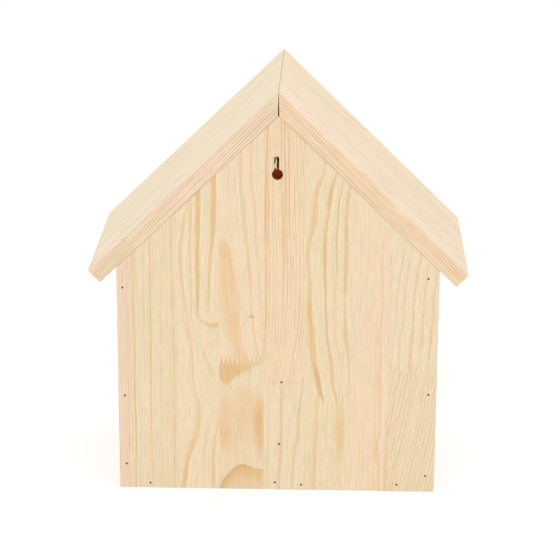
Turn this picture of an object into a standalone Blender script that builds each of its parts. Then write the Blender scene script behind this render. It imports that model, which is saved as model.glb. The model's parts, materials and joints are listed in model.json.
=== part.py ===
"""Two-bay gable birdhouse in edge-glued pine, modelled as separate boards and fasteners.

Units are metres and +Z is up. The swing-up door faces -Y and the hanging back faces +Y.
The origin is on the ground, under the middle of the roof.
"""
import math

import bmesh
import bpy
from mathutils import Matrix, Vector

# Boards
BOARD = 0.015               # thickness of every board
GAP = 0.0003                # clearance between pieces that touch
ROOF_GAP = 0.00016          # glue line between the roof and the boards under it
EASE = 0.0004               # planed corner of a board
WIDTH = 0.280               # across the outer faces of the side walls
WALL_HEIGHT = 0.206         # outer face of a side wall
GABLE_RISE = 0.136          # from the top of that face up to the gable's peak
BODY_DEPTH = 0.150          # front face to back face
ROOF_DEPTH = 0.180          # front edge to back edge of the roof
ROOF_SLOPE = 0.230          # ridge to eave along the top face
MITRE_TOP = 0.0002          # opening of the ridge mitre at the top face
MITRE_BOTTOM = 0.0013       # opening of the ridge mitre at the underside
DIVIDER_HEIGHT = 0.120      # above the floor's top face
DIVIDER_SETBACK = 0.0015    # from the divider's front edge to the closed door

# Swing-up door, its pivots and its turn button
DOOR_SIDE_GAP = 0.001
DOOR_FOOT_GAP = 0.0015      # above the floor's top face
PIVOT_HEIGHT = 0.178
DOOR_ABOVE_PIVOT = 0.010
GABLE_ABOVE_PIVOT = 0.0135  # leaves a vent slot above the door
ENTRANCE_RADIUS = 0.016
ENTRANCE_HEIGHT = 0.125
ENTRANCE_FLARE = 0.0008
ENTRANCE_SIDES = 48
PERCH_RADIUS = 0.004
PERCH_HEIGHT = 0.086
PERCH_OUT = 0.027
PERCH_IN = 0.011
PERCH_SOFT_END = 0.0008
PERCH_SIDES = 24
BUTTON_RADIUS = 0.006
BUTTON_REACH = 0.026        # pivot to the centre of the far round end
BUTTON_THICKNESS = 0.005
BUTTON_EASE = 0.0005
BUTTON_RIM_ANGLE = math.radians(60)     # edges sharper than this are eased

# Floor drains, two in each bay
DRAIN_RADIUS = 0.003
DRAIN_SIDES = 16
DRAINS_Y = (-0.025, 0.039)

# Keyhole hanger, cut into the back face
KEYHOLE_X = 0.0007
KEYHOLE_HEIGHT = 0.2907
KEYHOLE_RADIUS = 0.0048
KEYHOLE_DEPTH = 0.010
SLOT_X = 0.0014
SLOT_RADIUS = 0.0022
SLOT_RISE = 0.0139          # from the entry's centre to the centre of the slot's round end
SLOT_LIP = 0.005            # depth of the narrow neck in front of the undercut
UNDERCUT_RADIUS = 0.0046    # round top of the wide part behind the lip

# Fasteners
BRAD_RADIUS = 0.0007
BRAD_LENGTH = 0.029
BRAD_SUNK = 0.0008          # head below the board's face
BRAD_HEAD_RADIUS = 0.0006
BRAD_HEAD_CHAMFER = 0.0002
BRAD_POINT = 0.002          # length of the tapered point
BRAD_SIDES = 8
SCREW_RADIUS = 0.00175
SCREW_LENGTH = 0.027
SCREW_HEAD_RADIUS = 0.0036
SCREW_HEAD_HEIGHT = 0.0024
SCREW_HEAD_PROFILE = ((0.50, 0.95), (0.85, 0.68), (1.0, 0.25), (0.97, 0.0))     # shares of radius and height
SCREW_POINT = 0.004
SCREW_RECESS_DEPTH = 0.0012
SCREW_RECESS_ARM = 0.0021
SCREW_RECESS_HALF_WIDTH = 0.00045
SCREW_SIDES = 16
CUT_PAST = 0.002            # how far a cutter runs out past the face it opens

# Brads through the back panel, as (x, z) of each head
RIGHT_WALL_BRADS = ((0.1348, 0.1877), (0.1343, 0.0877), (0.1338, 0.0228))
LEFT_WALL_BRADS = ((-0.1303, 0.1992), (-0.1330, 0.0923), (-0.1320, 0.0152))
FLOOR_BRADS = ((0.1129, 0.0045), (0.0017, 0.0067), (-0.0218, 0.0049), (-0.1068, 0.0063))
DIVIDER_BRADS = ((-0.0038, 0.1022), (-0.0020, 0.0437))
FLOOR_SIDE_BRADS_Y = (-0.030, 0.034)
DIVIDER_FOOT_BRADS_Y = (-0.015, 0.042)
GABLE_BRAD_HEIGHT = 0.2015

# Worked out from the driving dimensions
PITCH = math.atan2(GABLE_RISE, WIDTH / 2)
FRONT = -ROOF_DEPTH / 2 + (ROOF_DEPTH - BODY_DEPTH)
BACK = ROOF_DEPTH / 2
PEAK = WALL_HEIGHT + GABLE_RISE
RIDGE = PEAK + BOARD / math.cos(PITCH)
ROOF_GAP_Z = ROOF_GAP / math.cos(PITCH)
INNER_HALF = WIDTH / 2 - BOARD
WALL_BACK = BACK - BOARD - GAP
DOOR_BACK = FRONT + BOARD
PIVOT = Vector((0.0, FRONT + BOARD / 2, PIVOT_HEIGHT))
BAY_CENTRE = (INNER_HALF + BOARD / 2) / 2
BUTTON_PIVOT = Vector((0.0, FRONT - GAP - BUTTON_THICKNESS / 2, BOARD / 2))


def clear_scene():
    for item in list(bpy.data.objects):
        bpy.data.objects.remove(item, do_unlink=True)


def material(name, colour, roughness, metallic=0.0):
    made = bpy.data.materials.new(name)
    made.use_nodes = True
    shader = made.node_tree.nodes["Principled BSDF"]
    shader.inputs["Base Color"].default_value = (*colour, 1.0)
    shader.inputs["Roughness"].default_value = roughness
    shader.inputs["Metallic"].default_value = metallic
    return made


def add_object(name, mesh, look, location=(0, 0, 0), parent=None):
    made = bpy.data.objects.new(name, mesh)
    bpy.context.collection.objects.link(made)
    if look:
        mesh.materials.clear()
        mesh.materials.append(look)
    made.location = Vector(location)
    if parent:
        made.parent = parent
        made.location = Vector(location) - parent.location
    return made


def add_pivot(name, location):
    pivot = bpy.data.objects.new(name, None)
    bpy.context.collection.objects.link(pivot)
    pivot.location = location
    return pivot


def finish_mesh(shape, name):
    bmesh.ops.recalc_face_normals(shape, faces=shape.faces)
    mesh = bpy.data.meshes.new(name)
    shape.to_mesh(mesh)
    shape.free()
    return mesh


def smooth(mesh, angle=math.radians(35)):
    mesh.shade_smooth()
    mesh.set_sharp_from_angle(angle=angle)


def roof_underside(x):
    """Height of the roof's underside at a distance x from the middle."""
    return PEAK - abs(x) * math.tan(PITCH)


def arc(centre, radius, start, stop, steps):
    """Points along a circular arc in the XZ plane, ends included."""
    points = []
    for step in range(steps + 1):
        angle = start + (stop - start) * step / steps
        points.append((centre[0] + radius * math.cos(angle), centre[1] + radius * math.sin(angle)))
    return points


def prism(name, outline, near, far):
    """Extrude a closed XZ outline along Y from near to far."""
    shape = bmesh.new()
    corners = [shape.verts.new((x, near, z)) for x, z in outline]
    face = shape.faces.new(corners)
    grown = bmesh.ops.extrude_face_region(shape, geom=[face])
    moved = [item for item in grown["geom"] if isinstance(item, bmesh.types.BMVert)]
    bmesh.ops.translate(shape, verts=moved, vec=(0, far - near, 0))
    return finish_mesh(shape, name)


def turned(name, profile, sides):
    """Spin a (radius, height) profile round Z; it starts and ends on the axis."""
    shape = bmesh.new()
    points = [shape.verts.new((radius, 0, height)) for radius, height in profile]
    edges = [shape.edges.new(pair) for pair in zip(points, points[1:])]
    bmesh.ops.spin(shape, geom=points + edges, cent=(0, 0, 0), axis=(0, 0, 1),
                   angle=math.tau, steps=sides, use_merge=True)
    bmesh.ops.remove_doubles(shape, verts=shape.verts, dist=1e-6)
    return finish_mesh(shape, name)


def board(name, outline, near, far, look, parent=None):
    """A flat board with planed corners, its origin in the middle of its front face."""
    xs = [x for x, _ in outline]
    zs = [z for _, z in outline]
    middle = Vector(((min(xs) + max(xs)) / 2, near, (min(zs) + max(zs)) / 2))
    local = [(x - middle.x, z - middle.z) for x, z in outline]
    made = add_object(name, prism(name, local, 0.0, far - near), look, middle, parent)
    bevel = made.modifiers.new("planed_corners", "BEVEL")
    bevel.width = EASE
    bevel.segments = 1
    return made


def cutter(name, mesh, location=(0, 0, 0)):
    made = add_object(name, mesh, None, location)
    made.hide_render = True
    made.display_type = "WIRE"
    return made


def cut(target, tool):
    boolean = target.modifiers.new(tool.name, "BOOLEAN")
    boolean.operation = "DIFFERENCE"
    boolean.solver = "EXACT"
    boolean.object = tool


def turn_from_z(direction):
    """Rotation that takes +Z to the given direction."""
    return Vector((0, 0, 1)).rotation_difference(Vector(direction)).to_euler()


def join_round_bars(name, bars, radius, sides):
    """One cutter mesh out of separate round bars, each given as (start, end)."""
    shape = bmesh.new()
    for start, end in bars:
        start, end = Vector(start), Vector(end)
        along = end - start
        place = Matrix.Translation((start + end) / 2)
        turn = Vector((0, 0, 1)).rotation_difference(along).to_matrix().to_4x4()
        bmesh.ops.create_cone(shape, cap_ends=True, segments=sides, radius1=radius, radius2=radius,
                              depth=along.length, matrix=place @ turn)
    return finish_mesh(shape, name)


def bore(bars, radius, sides, name, *targets):
    """Cut the same round holes out of every target they pass through."""
    tool = cutter(name, join_round_bars(name, bars, radius, sides))
    for target in targets:
        cut(target, tool)


def wall_outline(side):
    outer = side * WIDTH / 2
    inner = side * INNER_HALF
    return [
        (outer, 0.0),
        (outer, roof_underside(outer) - ROOF_GAP_Z),
        (inner, roof_underside(inner) - ROOF_GAP_Z),
        (inner, 0.0),
    ]


def roof_outline(side):
    run = math.cos(PITCH)
    drop = math.sin(PITCH)
    eave = (ROOF_SLOPE * run, RIDGE - ROOF_SLOPE * drop)
    points = [
        (MITRE_TOP / 2, RIDGE - MITRE_TOP / 2 * math.tan(PITCH)),
        eave,
        (eave[0] - BOARD * drop, eave[1] - BOARD * run),
        (MITRE_BOTTOM / 2, roof_underside(MITRE_BOTTOM / 2)),
    ]
    return [(side * x, z) for x, z in points]


def gable_outline(half_width, foot):
    """Rectangle with a pointed top that fits under the roof."""
    return [
        (-half_width, foot),
        (half_width, foot),
        (half_width, roof_underside(half_width) - ROOF_GAP_Z),
        (0.0, PEAK - ROOF_GAP_Z),
        (-half_width, roof_underside(half_width) - ROOF_GAP_Z),
    ]


def rectangle(left, right, foot, head):
    return [(left, foot), (right, foot), (right, head), (left, head)]


def make_brad(name, head, direction, mesh):
    """A headless brad driven from the point on the board's face along direction."""
    along = Vector(direction)
    made = add_object(name, mesh, None, Vector(head) + along * BRAD_SUNK)
    made.rotation_euler = turn_from_z(along)


def brad_mesh(look):
    mesh = turned("brad", [
        (0.0, 0.0),
        (BRAD_HEAD_RADIUS, 0.0),
        (BRAD_RADIUS, BRAD_HEAD_CHAMFER),
        (BRAD_RADIUS, BRAD_LENGTH - BRAD_POINT),
        (0.0, BRAD_LENGTH),
    ], BRAD_SIDES)
    mesh.materials.append(look)
    smooth(mesh)
    return mesh


def brad_rows():
    """Every brad as name, head point on the face, and driving direction."""
    rows = []
    groups = (
        ("right_wall_back_brad", RIGHT_WALL_BRADS),
        ("left_wall_back_brad", LEFT_WALL_BRADS),
        ("floor_back_brad", FLOOR_BRADS),
        ("divider_back_brad", DIVIDER_BRADS),
    )
    for stem, places in groups:
        for number, (x, z) in enumerate(places, 1):
            rows.append((f"{stem}_{number}", (x, BACK, z), (0, -1, 0)))
    for side, stem in ((1, "right"), (-1, "left")):
        face = side * WIDTH / 2
        for number, y in enumerate(FLOOR_SIDE_BRADS_Y, 1):
            rows.append((f"{stem}_floor_brad_{number}", (face, y, BOARD / 2), (-side, 0, 0)))
        rows.append((f"{stem}_gable_brad", (face, PIVOT.y, GABLE_BRAD_HEIGHT), (-side, 0, 0)))
    for number, y in enumerate(DIVIDER_FOOT_BRADS_Y, 1):
        rows.append((f"divider_foot_brad_{number}", (0.0, y, 0.0), (0, 0, 1)))
    return rows


def make_brads(look, targets):
    """Brads in their pilot holes; each hole runs from outside the face to just past the tip."""
    mesh = brad_mesh(look)
    holes = []
    for name, head, direction in brad_rows():
        make_brad(name, head, direction, mesh)
        along = Vector(direction)
        start = Vector(head) - along * CUT_PAST
        end = Vector(head) + along * (BRAD_SUNK + BRAD_LENGTH + GAP)
        holes.append((start, end))
    bore(holes, BRAD_RADIUS + GAP, BRAD_SIDES, "brad_holes", *targets)


def screw_mesh(look):
    """Pan-head screw along -Z, with the underside of its head at the origin."""
    crown = [(SCREW_HEAD_RADIUS * wide, SCREW_HEAD_HEIGHT * high) for wide, high in SCREW_HEAD_PROFILE]
    mesh = turned("pan_head_screw", [
        (0.0, SCREW_HEAD_HEIGHT),
        *crown,
        (SCREW_RADIUS, 0.0),
        (SCREW_RADIUS, SCREW_POINT - SCREW_LENGTH),
        (0.0, -SCREW_LENGTH),
    ], SCREW_SIDES)
    mesh.materials.append(look)
    smooth(mesh)
    return mesh


def cross_recess_mesh():
    """A plus sign of two crossed bars as one closed outline, cut down into the head."""
    arm, half = SCREW_RECESS_ARM, SCREW_RECESS_HALF_WIDTH
    quarter = [(arm, -half), (arm, half), (half, half)]
    shape = bmesh.new()
    points = []
    for turn in range(4):
        rotation = Matrix.Rotation(turn * math.pi / 2, 2)
        points += [rotation @ Vector(point) for point in quarter]
    low = SCREW_HEAD_HEIGHT - SCREW_RECESS_DEPTH
    face = shape.faces.new([shape.verts.new((p.x, p.y, low)) for p in points])
    grown = bmesh.ops.extrude_face_region(shape, geom=[face])
    moved = [item for item in grown["geom"] if isinstance(item, bmesh.types.BMVert)]
    bmesh.ops.translate(shape, verts=moved, vec=(0, 0, SCREW_RECESS_DEPTH + CUT_PAST))
    return finish_mesh(shape, "cross_recess")


def make_screw(name, head, direction, mesh, recess, parent=None):
    """A screw driven along direction, its head bearing at the head point."""
    turn = turn_from_z(-Vector(direction))
    made = add_object(name, mesh, None, head, parent)
    made.rotation_euler = turn
    tool = cutter(name + "_recess", recess, head)
    tool.rotation_euler = turn
    cut(made, tool)
    return made


def screw_hole(head, direction):
    along = Vector(direction)
    return Vector(head) - along * GAP * 2, Vector(head) + along * (SCREW_LENGTH + GAP)


def keyhole_tools():
    """The keyhole's narrow mouth and the wider undercut behind it."""
    entry = (KEYHOLE_X, KEYHOLE_HEIGHT)
    end = (SLOT_X, KEYHOLE_HEIGHT + SLOT_RISE)
    right = math.acos((SLOT_X + SLOT_RADIUS - KEYHOLE_X) / KEYHOLE_RADIUS)
    left = math.acos((SLOT_X - SLOT_RADIUS - KEYHOLE_X) / KEYHOLE_RADIUS)
    mouth = arc(entry, KEYHOLE_RADIUS, left, math.tau + right, 36)
    mouth += arc(end, SLOT_RADIUS, 0.0, math.pi, 12)
    undercut = arc(entry, KEYHOLE_RADIUS, math.pi, math.tau, 18)
    undercut += arc(end, UNDERCUT_RADIUS, 0.0, math.pi, 18)
    lip = BACK - SLOT_LIP
    tools = (
        ("keyhole_mouth", mouth, lip - GAP, BACK + CUT_PAST),
        ("keyhole_undercut", undercut, BACK - KEYHOLE_DEPTH, lip),
    )
    return [cutter(name, prism(name, outline, near, far)) for name, outline, near, far in tools]


def entrance_tool(side):
    """A round hole through the door whose rims are lightly flared."""
    reach = BOARD / 2
    wide = ENTRANCE_RADIUS + ENTRANCE_FLARE * 2
    mesh = turned("entrance", [
        (0.0, -reach - ENTRANCE_FLARE),
        (wide, -reach - ENTRANCE_FLARE),
        (ENTRANCE_RADIUS, -reach + ENTRANCE_FLARE),
        (ENTRANCE_RADIUS, reach - ENTRANCE_FLARE),
        (wide, reach + ENTRANCE_FLARE),
        (0.0, reach + ENTRANCE_FLARE),
    ], ENTRANCE_SIDES)
    tool = cutter(f"entrance_{side}", mesh, (side * BAY_CENTRE, PIVOT.y, ENTRANCE_HEIGHT))
    tool.rotation_euler = turn_from_z((0, -1, 0))
    return tool


def make_perch(name, side, look, parent):
    """A dowel glued into the door, with a softened outer end."""
    length = PERCH_IN + PERCH_OUT
    mesh = turned(name, [
        (0.0, 0.0),
        (PERCH_RADIUS, 0.0),
        (PERCH_RADIUS, length - PERCH_SOFT_END),
        (PERCH_RADIUS - PERCH_SOFT_END, length),
        (0.0, length),
    ], PERCH_SIDES)
    smooth(mesh)
    root = (side * BAY_CENTRE, FRONT + PERCH_IN, PERCH_HEIGHT)
    perch = add_object(name, mesh, look, root, parent)
    perch.rotation_euler = turn_from_z((0, -1, 0))
    return root


def make_door(pine, beech, steel_screw, recess):
    """Door, perches and pivot screws, all carried by one empty on the pivot axis."""
    pivot = add_pivot("door_pivot", PIVOT)
    half = INNER_HALF - DOOR_SIDE_GAP
    outline = rectangle(-half, half, BOARD + DOOR_FOOT_GAP, PIVOT_HEIGHT + DOOR_ABOVE_PIVOT)
    door = board("front_door", outline, FRONT, DOOR_BACK, pine, pivot)
    perch_holes = []
    for side, stem in ((1, "right"), (-1, "left")):
        cut(door, entrance_tool(side))
        root = Vector(make_perch(f"{stem}_perch", side, beech, pivot))
        perch_holes.append((root + Vector((0, GAP, 0)), Vector((root.x, FRONT - CUT_PAST, root.z))))
        head = Vector((side * (WIDTH / 2 + GAP), PIVOT.y, PIVOT.z))
        make_screw(f"{stem}_pivot_screw", head, (-side, 0, 0), steel_screw, recess, pivot)
    bore(perch_holes, PERCH_RADIUS + GAP, PERCH_SIDES, "perch_holes", door)
    return door


def make_button(beech, steel_screw, recess):
    """Turn button lying released along the floor's edge, and the screw it turns on."""
    outline = arc((0.0, 0.0), BUTTON_RADIUS, math.pi / 2, math.pi * 1.5, 12)
    outline += arc((BUTTON_REACH, 0.0), BUTTON_RADIUS, -math.pi / 2, math.pi / 2, 12)
    half = BUTTON_THICKNESS / 2
    button = add_object("turn_button", prism("turn_button", outline, -half, half), beech, BUTTON_PIVOT)
    bevel = button.modifiers.new("eased_rim", "BEVEL")
    bevel.width = BUTTON_EASE
    bevel.segments = 1
    bevel.limit_method = "ANGLE"
    bevel.angle_limit = BUTTON_RIM_ANGLE
    head = BUTTON_PIVOT - Vector((0, half + GAP, 0))
    make_screw("turn_button_screw", head, (0, 1, 0), steel_screw, recess)
    return button, head


def bore_screws(left_wall, right_wall, floor, door, button, button_head):
    """Pilot and clearance holes for the pivot screws and the button's screw."""
    bars = [screw_hole(button_head, (0, 1, 0))]
    for side in (1, -1):
        bars.append(screw_hole((side * (WIDTH / 2 + GAP), PIVOT.y, PIVOT.z), (-side, 0, 0)))
    bore(bars, SCREW_RADIUS + GAP, SCREW_SIDES, "screw_holes", left_wall, right_wall, floor, door, button)


def bore_drains(floor):
    bars = []
    for side in (1, -1):
        for y in DRAINS_Y:
            middle = (side * BAY_CENTRE, y)
            bars.append(((*middle, -CUT_PAST), (*middle, BOARD + CUT_PAST)))
    bore(bars, DRAIN_RADIUS, DRAIN_SIDES, "drain_holes", floor)


def main():
    clear_scene()
    panel_pine = material("panel_pine", (0.847, 0.672, 0.447), 0.62)
    roof_pine = material("roof_pine", (0.880, 0.740, 0.560), 0.60)
    inner_pine = material("inner_pine", (0.800, 0.610, 0.400), 0.66)
    beech = material("beech", (0.720, 0.500, 0.310), 0.55)
    brad_steel = material("brad_steel", (0.120, 0.090, 0.070), 0.55, 1.0)
    screw_zinc = material("screw_zinc", (0.620, 0.630, 0.640), 0.32, 1.0)

    back_panel = board("back_panel", gable_outline(WIDTH / 2, 0.0), BACK - BOARD, BACK, panel_pine)
    right_wall = board("right_wall", wall_outline(1), FRONT, WALL_BACK, panel_pine)
    left_wall = board("left_wall", wall_outline(-1), FRONT, WALL_BACK, panel_pine)
    clear_half = INNER_HALF - GAP
    floor = board("floor_board", rectangle(-clear_half, clear_half, 0.0, BOARD), FRONT, WALL_BACK, inner_pine)
    divider_outline = rectangle(-BOARD / 2, BOARD / 2, BOARD + GAP, BOARD + DIVIDER_HEIGHT)
    divider = board("bay_divider", divider_outline, DOOR_BACK + DIVIDER_SETBACK, WALL_BACK, inner_pine)
    gable_foot = PIVOT_HEIGHT + GABLE_ABOVE_PIVOT
    gable = board("front_gable", gable_outline(clear_half, gable_foot), FRONT, DOOR_BACK, panel_pine)
    board("right_roof", roof_outline(1), -BACK, BACK, roof_pine)
    board("left_roof", roof_outline(-1), -BACK, BACK, roof_pine)

    screw = screw_mesh(screw_zinc)
    recess = cross_recess_mesh()
    door = make_door(panel_pine, beech, screw, recess)
    button, button_head = make_button(beech, screw, recess)

    for tool in keyhole_tools():
        cut(back_panel, tool)
    make_brads(brad_steel, (back_panel, right_wall, left_wall, floor, divider, gable))
    bore_screws(left_wall, right_wall, floor, door, button, button_head)
    bore_drains(floor)


main()
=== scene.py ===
"""Looks of the two-bay birdhouse: bare edge-glued pine, a keyhole darkened by scorch and painted shade, brads
and zinc screws.

The hanging back is the side that the camera sees. On the back panel, "across" is measured in
millimetres from the edge on the viewer's left, and "up" in millimetres from the ground.
"""
import json
import math
from typing import NamedTuple

import bmesh
import bpy
from mathutils import Matrix, Vector


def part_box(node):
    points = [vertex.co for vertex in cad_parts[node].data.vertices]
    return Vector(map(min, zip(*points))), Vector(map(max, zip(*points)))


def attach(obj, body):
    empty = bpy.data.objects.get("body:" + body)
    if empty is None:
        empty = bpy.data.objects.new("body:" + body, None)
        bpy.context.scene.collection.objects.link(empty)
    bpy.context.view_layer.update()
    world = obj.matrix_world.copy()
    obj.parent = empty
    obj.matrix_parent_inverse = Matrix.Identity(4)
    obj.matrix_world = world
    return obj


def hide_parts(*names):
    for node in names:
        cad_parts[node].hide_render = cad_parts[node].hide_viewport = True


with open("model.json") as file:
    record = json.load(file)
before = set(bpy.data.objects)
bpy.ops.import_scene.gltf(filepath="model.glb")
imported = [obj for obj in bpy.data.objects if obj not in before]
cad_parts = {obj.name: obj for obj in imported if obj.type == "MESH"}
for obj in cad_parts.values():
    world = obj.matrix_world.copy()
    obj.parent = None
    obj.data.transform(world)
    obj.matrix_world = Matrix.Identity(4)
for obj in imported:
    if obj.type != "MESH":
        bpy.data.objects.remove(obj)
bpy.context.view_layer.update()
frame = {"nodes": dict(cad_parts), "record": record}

MM = 0.001
X, Y, Z = Vector((1, 0, 0)), Vector((0, 1, 0)), Vector((0, 0, 1))
WHITE = (1.0, 1.0, 1.0, 1.0)

# Pine colours as they look in even white light, sRGB 0 to 255
PALE = (241, 219, 186)      # earlywood of the panel
EARLY = (242, 224, 197)     # the whitest earlywood, just outside a wide band
RING = (215, 187, 148)      # fine latewood rings
LATE = (235, 198, 148)      # wide latewood bands
DEEP = (223, 183, 132)      # the darkest of them
RESIN = (239, 203, 155)     # orange heart and resin stains
BLUSH = (242, 213, 184)     # pinkish outer edge of the panel's first stave


def linear(colour):
    """sRGB 0-255 to a linear RGBA colour."""
    parts = [part / 255 for part in colour]
    parts = [part / 12.92 if part <= 0.04045 else ((part + 0.055) / 1.055) ** 2.4 for part in parts]
    return (*parts, 1.0)


def box_mm(node):
    """Lowest and highest corners of a CAD node, in mm."""
    return [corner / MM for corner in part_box(node)]


def hanger_point():
    """Where a wall screw's shank stands in the keyhole, at the panel's back face, in mm."""
    mounts = frame["record"]["mounts"]
    return Vector(next(mount["pos_m"] for mount in mounts if mount["name"] == "keyhole_hanger")) / MM


# ---- node arithmetic


class Wire:
    """A number in a node tree. Arithmetic on wires adds Math nodes to the tree."""

    def __init__(self, graph, socket):
        self.graph = graph
        self.socket = socket

    def math(self, operation, *others):
        return self.graph.math(operation, self, *others)

    def __add__(self, other):
        return self.math("ADD", other)

    __radd__ = __add__

    def __sub__(self, other):
        return self.math("SUBTRACT", other)

    def __rsub__(self, other):
        return self.graph.math("SUBTRACT", other, self)

    def __mul__(self, other):
        return self.math("MULTIPLY", other)

    __rmul__ = __mul__

    def __truediv__(self, other):
        return self.math("DIVIDE", other)

    def above(self, other):
        """1 where this is greater than the other, else 0."""
        return self.math("GREATER_THAN", other)

    def smooth(self, low, high, start=0.0, end=1.0):
        """Goes smoothly from start to end while this goes from low to high."""
        made = self.graph.node("ShaderNodeMapRange", interpolation_type="SMOOTHSTEP")
        for name, item in (("Value", self), ("From Min", low), ("From Max", high),
                           ("To Min", start), ("To Max", end)):
            self.graph.plug(made.inputs[name], item)
        return Wire(self.graph, made.outputs["Result"])


class Graph:
    """The node tree of one material."""

    def __init__(self, name):
        self.material = bpy.data.materials.new(name)
        self.material.use_nodes = True
        self.tree = self.material.node_tree
        self.shader = self.tree.nodes["Principled BSDF"]
        self.coordinates = self.node("ShaderNodeTexCoord")

    def node(self, kind, **settings):
        made = self.tree.nodes.new(kind)
        for key, value in settings.items():
            setattr(made, key, value)
        return made

    def plug(self, target, value):
        if isinstance(value, Wire):
            self.tree.links.new(value.socket, target)
        else:
            target.default_value = value

    def math(self, operation, *values):
        made = self.node("ShaderNodeMath", operation=operation)
        for target, value in zip(made.inputs, values):
            self.plug(target, value)
        return Wire(self, made.outputs[0])

    def mix(self, start, end, share):
        """Number between start and end."""
        made = self.node("ShaderNodeMix", data_type="FLOAT", clamp_factor=True)
        for place, value in ((0, share), (2, start), (3, end)):
            self.plug(made.inputs[place], value)
        return Wire(self, made.outputs[0])

    def blend(self, start, end, share, how="MIX"):
        """Colour between start and end."""
        made = self.node("ShaderNodeMix", data_type="RGBA", blend_type=how, clamp_factor=True)
        for place, value in ((0, share), (6, start), (7, end)):
            self.plug(made.inputs[place], value)
        return Wire(self, made.outputs[2])

    def times(self, colour, other, share=1.0):
        """Colour multiplied by another, at the given share."""
        return self.blend(colour, other, share, "MULTIPLY")

    def vector(self, x, y, z):
        made = self.node("ShaderNodeCombineXYZ")
        for target, value in zip(made.inputs, (x, y, z)):
            self.plug(target, value)
        return Wire(self, made.outputs[0])

    def along(self, direction, source="Object", scale=1 / MM):
        """The object-space position (in mm) or normal, measured along a direction."""
        made = self.node("ShaderNodeVectorMath", operation="DOT_PRODUCT")
        self.tree.links.new(self.coordinates.outputs[source], made.inputs[0])
        made.inputs[1].default_value = direction * scale
        return Wire(self, made.outputs["Value"])

    def facing(self, direction, low, high):
        """0 to 1 on faces that look along a direction or against it."""
        return self.along(direction, "Normal", 1.0).math("ABSOLUTE").smooth(low, high)

    def noise_at(self, place, detail, roughness=0.5):
        """Smooth noise about 0, between about -0.5 and 0.5."""
        made = self.node("ShaderNodeTexNoise", noise_dimensions="3D")
        made.inputs["Scale"].default_value = 1.0
        made.inputs["Detail"].default_value = detail
        made.inputs["Roughness"].default_value = roughness
        self.plug(made.inputs["Vector"], place)
        return Wire(self, made.outputs["Fac"]) - 0.5

    def noise(self, x, y=0.0, z=0.0, detail=1.0, roughness=0.5):
        """Noise that changes as x, y and z change by about 1."""
        return self.noise_at(self.vector(x, y, z), detail, roughness)

    def board_noise(self, sizes, detail=1.0):
        """Noise whose features have these sizes (mm) along the object's axes."""
        place = self.node("ShaderNodeMapping")
        self.tree.links.new(self.coordinates.outputs["Object"], place.inputs["Vector"])
        place.inputs["Scale"].default_value = [1 / (size * MM) for size in sizes]
        return self.noise_at(Wire(self, place.outputs["Vector"]), detail)

    def random(self, x, y=0.0, z=0.0):
        """Three random numbers from 0 to 1, the same wherever x, y and z are the same."""
        place = self.vector(x, y, z)
        made = self.node("ShaderNodeTexWhiteNoise", noise_dimensions="3D")
        self.plug(made.inputs["Vector"], place)
        parts = self.node("ShaderNodeSeparateColor")
        self.tree.links.new(made.outputs["Color"], parts.inputs[0])
        return [Wire(self, out) for out in parts.outputs]

    def grey(self, value):
        """A colour whose three parts are the same number."""
        made = self.node("ShaderNodeCombineColor")
        for target in made.inputs:
            self.plug(target, value)
        return Wire(self, made.outputs[0])

    def ramp(self, value, stops):
        """Colours along a 0 to 1 scale, as (place, colour)."""
        made = self.node("ShaderNodeValToRGB")
        self.plug(made.inputs[0], value)
        line = made.color_ramp
        line.interpolation = "LINEAR"
        while len(line.elements) < len(stops):
            line.elements.new(1.0)
        for element, (place, _) in zip(line.elements, stops):
            element.position = place
        for element, (_, colour) in zip(line.elements, stops):
            element.color = colour
        return Wire(self, made.outputs["Color"])

    def curve(self, value, points, handle="AUTO_CLAMPED"):
        """A line through (value, result) points: smooth, or with corners for VECTOR handles."""
        made = self.node("ShaderNodeFloatCurve")
        made.mapping.use_clip = False
        made.mapping.extend = "HORIZONTAL"
        line = made.mapping.curves[0]
        while len(line.points) < len(points):
            line.points.new(*points[-1])
        for spot, place in zip(line.points, points):
            spot.location = place
            spot.handle_type = handle
        made.mapping.update()
        self.plug(made.inputs["Value"], value)
        return Wire(self, made.outputs[0])

    def bump(self, height, distance):
        """Relief: a height of 1 stands out by a distance in metres."""
        made = self.node("ShaderNodeBump")
        made.inputs["Strength"].default_value = 1.0
        made.inputs["Distance"].default_value = distance
        self.plug(made.inputs["Height"], height)
        self.tree.links.new(made.outputs["Normal"], self.shader.inputs["Normal"])

    def finish(self, colour, roughness, metallic=0.0):
        self.plug(self.shader.inputs["Base Color"], colour)
        self.plug(self.shader.inputs["Roughness"], roughness)
        self.shader.inputs["Metallic"].default_value = metallic
        return self.material


def distance(first, second):
    """Length of the diagonal of two wires at right angles."""
    return (first * first + second * second).math("SQRT")


def wear(obj, material):
    """Give an object one material in every slot."""
    obj.data.materials.clear()
    obj.data.materials.append(material)


# ---- pine

TOOTH_PITCH = 3.8           # finger joint
TOOTH_REACH = 5.0           # half the length of a tooth
SEAM_WIDTH = 0.35           # glue line between two staves
STAVE = 40.0                # width of one stave
PIECE = 310.0               # from one finger joint to the next along a stave
PITH_SWAY = 70.0            # range of the pith's place across a stave
PITH_DEPTH = (12.0, 55.0)   # least depth of the pith under a board's middle, and its range
SEED_SHIFT = 11.7           # moves the staves of one board against those of the next
ROOF_PIECE = 420.0          # from one finger joint to the next in the roof's staves
JOINT_STAGGER = 0.37        # from one stave's joint to the next one's, as a share of a piece
PLAIN_TONES = (PALE, (243, 219, 188), (239, 216, 178), (236, 213, 178))


def tinted(parts, strength):
    """Colour to multiply with, made stronger or weaker."""
    return (*[1.0 + (part - 1.0) * strength for part in parts], 1.0)


def from_pale(colour, strength=1.0):
    """Linear colour that turns PALE into another colour when multiplied with it."""
    return tinted([top / bottom for top, bottom in zip(linear(colour)[:3], linear(PALE)[:3])], strength)


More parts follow.
